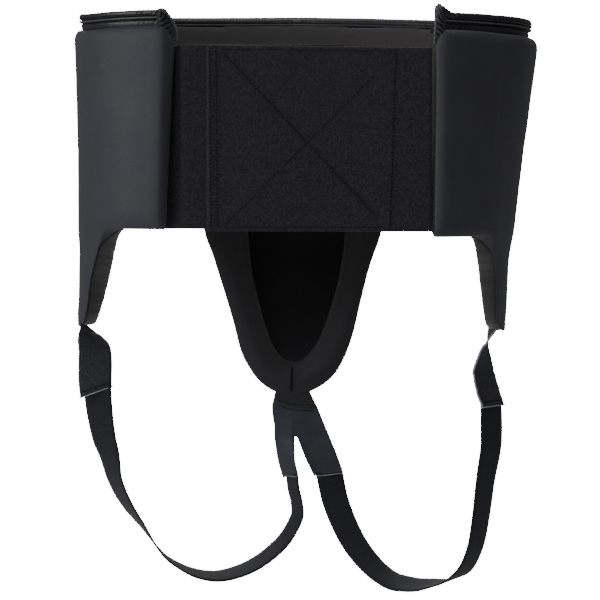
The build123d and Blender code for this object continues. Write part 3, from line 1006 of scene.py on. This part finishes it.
# Rolled edge from each collar's rear peak down the pad's inner corner, in mm; its pale colour is painted
# highlight
TAILS = {
    -1: [
        (-117.5, -104.8, 107.8), (-114.6, -104.0, 108.6), (-111.4, -101.5, 106.4), (-107.6, -98.4, 101.8),
        (-104.4, -96.4, 96.0), (-102.4, -95.2, 90.0), (-102.0, -94.9, 82.4),
    ],
    1: [
        (122.6, -105.4, 109.6), (120.8, -105.4, 112.8), (119.6, -104.8, 109.0), (118.8, -103.8, 103.0),
        (118.0, -102.8, 96.5), (117.4, -101.8, 89.0), (117.0, -100.8, 79.0),
    ],
}
# Where the gathers start beside the collar's end, top and bottom, in mm
GATHERS = {
    -1: ((-119.0, -103.6, 106.0), (-119.0, -99.0, 80.0)),
    1: ((124.6, -104.0, 106.0), (128.0, -99.0, 80.0)),
}


def rear_corner(side):
    """Gathered leather between a collar's rear end and the pad's inner corner, with its rolled edge."""
    name = SIDES[side]
    body = f"{name}_wing"
    count, size = 72, 26
    path = smooth_path(TAILS[side], count)
    shares = np.linspace(0, 1, count)
    radii = []
    for t in shares:
        thin = mix(1.7, 1.35, smoothstep(0, 0.35, t)) * mix(1.0, 0.6, smoothstep(0.55, 1, t))
        radii.append(thin * (1 + 0.12 * math.sin(t * 60)))
    # The rolled tail's pale leather is painted highlight
    tail = tube(f"{name}_collar_tail", path, radii, PIPING_PAINTED_HIGHLIGHT)
    finish_piece(tail, body, "binding_leather")
    top, foot = (np.array(p) for p in GATHERS[side])
    lift = np.array((side * 0.2, -1.0, 0.1))
    vertices = []
    for t, inner in zip(shares, path):
        outer = mix(top, foot, smoothstep(0.0, 1, t))
        calm = smoothstep(0.06, 0.25, t) * (1 - smoothstep(0.62, 0.95, t))
        for u in np.linspace(0, 1, size):
            phase = t * 21 - u * (3.4 - 1.5 * t) + 0.8 * math.sin(t * 9 + u * 4)
            ripple = abs(math.sin(phase)) ** 0.6
            fold = (ripple - 0.55) * 4.2 * math.sin(math.pi * min(1, u * 1.15)) * (0.15 + 0.85 * calm)
            swell = (1.2 - 1.2 * t) * math.sin(math.pi * u) ** 0.8
            vertices.append((mix(inner, outer, u) + lift * (fold + swell)) * MM)
    corners = [i * size + k for i in range(count - 1) for k in range(size - 1)]
    faces = [(c, c + 1, c + size + 1, c + size) for c in corners]
    gusset = new_object(f"{name}_gathered_corner", vertices, faces, BINDING)
    modify(gusset, "SOLIDIFY", thickness=1.0 * MM, offset=0.0)
    apply_modifiers(gusset)
    fix_normals(gusset)
    finish_piece(gusset, body, "binding_leather")


def side_trim(side):
    """Stitches along a side collar, and its rear corner."""
    row = collar_line(side, np.linspace(SEAM + 6, END - 10, 120), 6.45, 11.2)
    thread = joined(f"{SIDES[side]}_collar_stitching", stitch_row(row, 2.8, 1.6, 0.55), THREAD)
    finish_piece(thread, None, "binding_leather")
    blend_wing(thread)
    rear_corner(side)


# Crotch tab from behind, as corners (x, z, radius) in mm, with the fork cut into it
TAB_OUTLINE = [
    (-18, -214, 2), (-20.8, -224, 6), (-23.4, -235, 10), (-22.9, -244, 20), (-20.6, -258, 20), (-18, -268, 5),
    (-7, -270, 4), (-2.6, -263.6, 1), (-0.6, -263.0, 1), (8.2, -285.5, 40), (15.3, -299.6, 1.0),
    (42.6, -296.4, 1.5), (37.3, -281.4, 60), (29.3, -261.6, 60), (18.8, -236.5, 40), (12.2, -223, 6),
    (11.5, -214, 2),
]
# Lining cloth that laps from the cup's rim over the tab's top, in the same way
FOOT_OUTLINE = [
    (-17, -208, 1), (-20.4, -224, 4), (-18.4, -230, 5), (-12, -232.4, 12), (-4, -234, 20), (6, -235.2, 20),
    (16.6, -235.6, 2), (12.0, -223, 6), (11, -208, 1),
]
# Middle of the turned left leg, and the seam across the tab's top, in mm
LEG_KEYS = [
    (-12.2, 98.4, -246), (-11.6, 97.2, -263.5), (-11.2, 96.4, -271), (-9.7, 95, -285.5), (-6.2, 94, -299.4),
]
SEAM_KEYS = [
    (-19.2, 91.6, -230.2), (-12, 91.0, -232.9), (-4, 90.8, -234.5), (6, 90.9, -235.7), (16.2, 91.6, -236.2),
]
TAB = ("front_pad", "tab_leather")


def rounded_block(name, corners, front, back, voxel):
    """Flat block from (x, z, radius) corners."""
    outline = rounded_polygon([(x, z) for x, z, radius in corners], [radius for x, z, radius in corners])
    return flat_block(name, outline, front, back, voxel, 2)


def crotch_tab():
    """Forked tab under the cup: plate, turned left leg, cut edges, and the cloth over its top."""
    plate = rounded_block("crotch_tab_plate", TAB_OUTLINE, 92.6, 95.4, 1.15)
    data = coords(plate) / MM
    x, z = data[:, 0], data[:, 2]
    sag = fbm(data, 22.0, 5.0, 2) * 0.8 + 1.0 * np.sin((z + 222) / 14.0) * smoothstep(-222, -250, z)
    turned = 0.55 * np.clip(-5 - x, 0, None) * smoothstep(-228, -262, z)
    data[:, 1] += sag + turned
    set_coords(plate, data * MM)
    finish_piece(plate, *TAB, ("crotch_tab",), TAB_SKIN)

    centres = smooth_path(LEG_KEYS, 30)
    shares = np.linspace(0, 1, 30)
    turn = np.radians(np.interp(shares, [0, 0.32, 0.47, 0.74, 1], [0, 24, 38, 51, 54]))
    sides = np.stack([np.cos(turn), -np.sin(turn), 0 * turn], 1)
    widths = np.interp(shares, [0, 0.32, 0.74, 1], [17, 20, 23.5, 24])
    leg = ribbon("crotch_tab_left_leg", centres, sides, widths, 2.2, TAB_SKIN)
    finish_piece(leg, *TAB)

    end = [(15.6, 94, -300.1), (29, 94, -298.6), (42.4, 94, -296.9)]
    cut = ribbon("crotch_tab_right_cut", end, [(0, 1, 0)] * 3, 2.7, 0.8, EDGE)
    finish_piece(cut, *TAB)
    low, across = centres[-1] + np.array([0, 0, -0.3]), sides[-1]
    end = [low - across * 11.6, low, low + across * 11.6]
    cut = ribbon("crotch_tab_left_cut", end, [np.cross(across, (0, 0, 1))] * 3, 2.2, 0.8, EDGE)
    finish_piece(cut, *TAB)

    foot = rounded_block("cup_rim_foot", FOOT_OUTLINE, 91.0, 92.8, 0.8)
    data = coords(foot) / MM
    data[:, 1] += fbm(data, 18.0, 2.0, 2) * 0.5
    set_coords(foot, data * MM)
    finish_piece(foot, "front_pad", "lining_microfibre", (), RIM_CLOTH)
    seam = tube("crotch_tab_seam", smooth_path(SEAM_KEYS, 30), [0.7] * 30, BINDING, 6)
    finish_piece(seam, *TAB)
    fold = smooth_path([(-17.5, 92.0, -234.4), (-4, 91.9, -238.4), (17.6, 92.0, -240.2)], 30) * MM
    thread = joined("crotch_tab_stitching", stitch_row(fold, 2.6, 1.5, 0.4), THREAD)
    finish_piece(thread, *TAB)


# Hip tabs: centre, twist in degrees and width, from the tongue down
HIP_TABS = {
    -1: [
        (-187.5, -21, -150, 88, 17), (-187.6, -21, -159, 85, 20), (-184.2, -21.5, -166, 60, 25),
        (-178.2, -21.5, -177, 16, 28), (-177.0, -21, -192, 6, 29.3), (-177.2, -20.5, -206, 3, 29.3),
        (-176.4, -20, -218.6, 2, 29.3),
    ],
    1: [
        (173.5, -21, -154, 114, 18), (171.4, -21.3, -163.7, 106, 21), (168.2, -21.6, -171.5, 91, 23),
        (165.2, -22, -182.3, 69, 25.5), (164.2, -21.8, -200, 47, 28.5), (167.9, -21, -217.7, 43, 29.3),
        (172.3, -20, -230.8, 47, 29.3),
    ],
}
# For each tab: slope of its lower end, share along it where its pale strip starts, strip's thickness
TAB_ENDS = {-1: (0.36, 0.3, 0.9), 1: (0.06, 0.12, 1.3)}


def hip_tab(side):
    """Tab at the tongue's tip: it twists below the pad and shows its pale cut edges."""
    name = SIDES[side]
    keys = np.array(HIP_TABS[side], float)
    slope, strip_start, strip_thickness = TAB_ENDS[side]
    count = 60
    shares = np.linspace(0, 1, count)
    centres = smooth_path(keys[:, :3], count)
    turn = np.radians(eased(keys, 3, count))
    widths = eased(keys, 4, count)
    sides = unit(np.stack([np.cos(turn), np.sin(turn), smoothstep(0.72, 1, shares) * slope], 1))
    up = unit(np.cross(np.gradient(centres, axis=0), sides))
    crease = fbm(centres, 5.0, 1.0 + side, 2) * 1.3
    crease = crease * smoothstep(0.15, 0.35, shares) * smoothstep(1.0, 0.75, shares)
    centres = centres + up * crease[:, None]
    tab = ribbon(f"{name}_hip_tab_leather", centres, sides, widths, 1.8, TAB_WEB, square=False)
    finish_piece(tab, *TAB, (f"{name}_hip_tab",))

    tip, along = centres[-1] - np.array([0, 0, 0.4]), sides[-1]
    reach = widths[-1] / 2
    end = along * reach * 1.07
    face = np.cross(along, (0, 0, 1))
    cut = ribbon(f"{name}_hip_tab_cut", [tip - end, tip, tip + end], [face] * 3, 2.2, 1.1, EDGE)
    finish_piece(cut, *TAB)
    rim = centres - sides * (widths[:, None] / 2 + 0.05)
    start = int(count * strip_start)
    strip = ribbon(f"{name}_hip_tab_edge", rim[start:], up[start:], 1.9, strip_thickness, EDGE)
    finish_piece(strip, *TAB)

    base = centres[-1] + np.array([0, 0, 4.0])
    face = unit(face) * (-1.0 if face[1] > 0 else 1.0)
    row = [(base + along * reach * t + face * 1.1) * MM for t in np.linspace(-0.92, 0.92, 24)]
    thread = joined(f"{name}_hip_tab_stitching", stitch_row(row, 2.4, 1.6, 0.4), THREAD)
    finish_piece(thread, *TAB)


# Leg straps from hip tab to crotch tab: centre in mm and twist in degrees
STRAP_PATHS = {
    -1: [
        (-176.2, -18.4, -207.0, 4), (-175.2, -18.2, -220.0, 12), (-173.4, -17.8, -238.0, 22),
        (-169.8, -15.9, -259.4, 32), (-165.2, -12.8, -275.4, 44), (-160.6, -9.7, -296.8, 58),
        (-150.8, -3.2, -318.4, 66), (-136.3, 6.5, -340.4, 78), (-122.5, 15.7, -361.0, 88),
        (-110.8, 23.5, -372.6, 92), (-92.5, 35.7, -383.0, 99), (-72.2, 49.2, -387.2, 104),
        (-50.8, 63.4, -383.5, 109), (-30.1, 77.3, -373.4, 112), (-11.9, 89.4, -357.5, 115),
        (-0.6, 94.6, -338.0, 116), (-0.4, 95.4, -324.4, 115), (-3.4, 95.8, -311.0, 115),
        (-5.0, 95.8, -296.0, 115),
    ],
    1: [
        (169.0, -18.2, -221.0, 42), (170.6, -18.2, -233.0, 40), (170.9, -18.6, -252.2, 38),
        (170.1, -19.2, -269.8, 41), (165.9, -15.9, -296.4, 46), (162.1, -12.8, -328.3, 49),
        (157.5, -9.1, -355.1, 53), (148.7, -1.9, -376.0, 60), (135.1, 9.0, -387.2, 84),
        (118.8, 22.2, -392.0, 100), (101.5, 36.2, -393.8, 110), (84.0, 50.4, -390.6, 122),
        (66.3, 64.7, -377.5, 136), (49.3, 78.4, -355.1, 150), (35.7, 90.4, -324.0, 164),
        (29.0, 95.6, -294.0, 174),
    ],
}


def leg_strap(side):
    """Webbing loop in two lengths, from hip tab to crotch tab; it flips once on the way."""
    name = SIDES[side]
    keys = np.array(STRAP_PATHS[side], float)
    count = 161
    centres = smooth_path(keys[:, :3], count)
    turn = np.radians(eased(keys, 3, count))
    across = unit(np.cross(unit(np.gradient(centres, axis=0)), (0, 1, 0)))
    sides = across * np.cos(turn)[:, None] + np.array([0, side, 0]) * np.sin(turn)[:, None]
    middle = count // 2
    halves = (
        ("hip", slice(0, middle + 1), 0, 8, (f"{name}_leg_strap",), f"{name}_hip_tab_leather"),
        ("crotch", slice(middle, count), -1, -9, (), "crotch_tab_plate"),
    )
    for end, part, tip, inner, cad, tab in halves:
        piece = ribbon(f"{name}_strap_{end}_half", centres[part], sides[part], 25, 1.8, WEBBING)
        finish_piece(piece, None, "strap_webbing", cad)
        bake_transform(piece)


def cup_trim():
    """Seam at the foot of the cup rim."""
    keys = [(-4.6, 87.6, -199.5), (-5.0, 85.0, -206), (-5.2, 84.3, -213), (-5.4, 86.6, -221)]
    seam = tube("cup_foot_seam", smooth_path(keys, 20), [0.8] * 20, THREAD, 6)
    finish_piece(seam, "front_pad", "lining_microfibre")


# Soft lights: place and target in metres, size in metres and power in watts
LIGHTS = {
    "key": ((-2.6, -1.0, 0.8), (0, 0, -0.1), (1.4, 1.6), 40),
    "soft_front": ((-0.6, -3.1, 0.8), (0, 0, -0.1), (1.6, 1.2), 18),
    "overhead": ((0.2, -0.15, 2.0), (0, 0, 0), (1.6, 0.9), 18),
    "front": ((0.0, 2.4, 1.4), (0, 0, 0), (2.0, 1.2), 25),
}
# Strength of the white surroundings, as they light the scene and as the camera sees them
SURROUNDINGS = (0.13, 16.0)
FLOOR_HEIGHT = -0.62
FLOOR_REACH = 1.9


def studio():
    """Camera behind the wearer, soft lights, a white world and a pale floor."""
    scene = bpy.context.scene
    lens = bpy.data.cameras.new("view")
    lens.lens = 172.2
    lens.sensor_width = 36
    camera = bpy.data.objects.new("view", lens)
    camera.location = (0.0026, -2.542, -0.138)
    camera.rotation_euler = (math.radians(90), 0, 0)
    scene.collection.objects.link(camera)
    scene.camera = camera

    for name, (place, target, size, power) in LIGHTS.items():
        data = bpy.data.lights.new(name, "AREA")
        data.shape = "RECTANGLE"
        data.size, data.size_y = size
        data.energy = power
        light = bpy.data.objects.new(name, data)
        light.location = place
        light.rotation_euler = (Vector(target) - Vector(place)).to_track_quat("-Z", "Y").to_euler()
        scene.collection.objects.link(light)

    world = bpy.data.worlds.new("studio")
    world.use_nodes = True
    g = Graph(world.node_tree)
    g.tree.nodes.clear()
    both = g.node("ShaderNodeMixShader")
    g.link(g.node("ShaderNodeLightPath").outputs["Is Camera Ray"], both.inputs[0])
    for i, strength in enumerate(SURROUNDINGS):
        white = g.node("ShaderNodeBackground", Color=(1, 1, 1, 1), Strength=strength)
        g.link(white.outputs[0], both.inputs[i + 1])
    g.link(both.outputs[0], g.node("ShaderNodeOutputWorld").inputs[0])
    scene.world = world

    square = ((-1, -1), (1, -1), (1, 1), (-1, 1))
    corners = [(x * FLOOR_REACH, y * FLOOR_REACH, FLOOR_HEIGHT) for x, y in square]
    floor = new_object("floor", corners, [(0, 1, 2, 3)], smooth=False)
    floor.data.materials.append(plain("floor_pale", (0.78, 0.78, 0.78), 0.8, 900.0, 0.0))


studio()
for side in SIDES:
    for build in (side_pad, side_collar, collar_piping, side_trim, hip_tab, leg_strap):
        build(side)
for build in (belly_pad, belly_collar, inside_panel, cup, cup_trim, crotch_tab, closure):
    build()
for name in ("hook_patch", "loop_patch"):
    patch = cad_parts[name]
    patch.data.materials.clear()
    patch.data.materials.append(HOOKS)
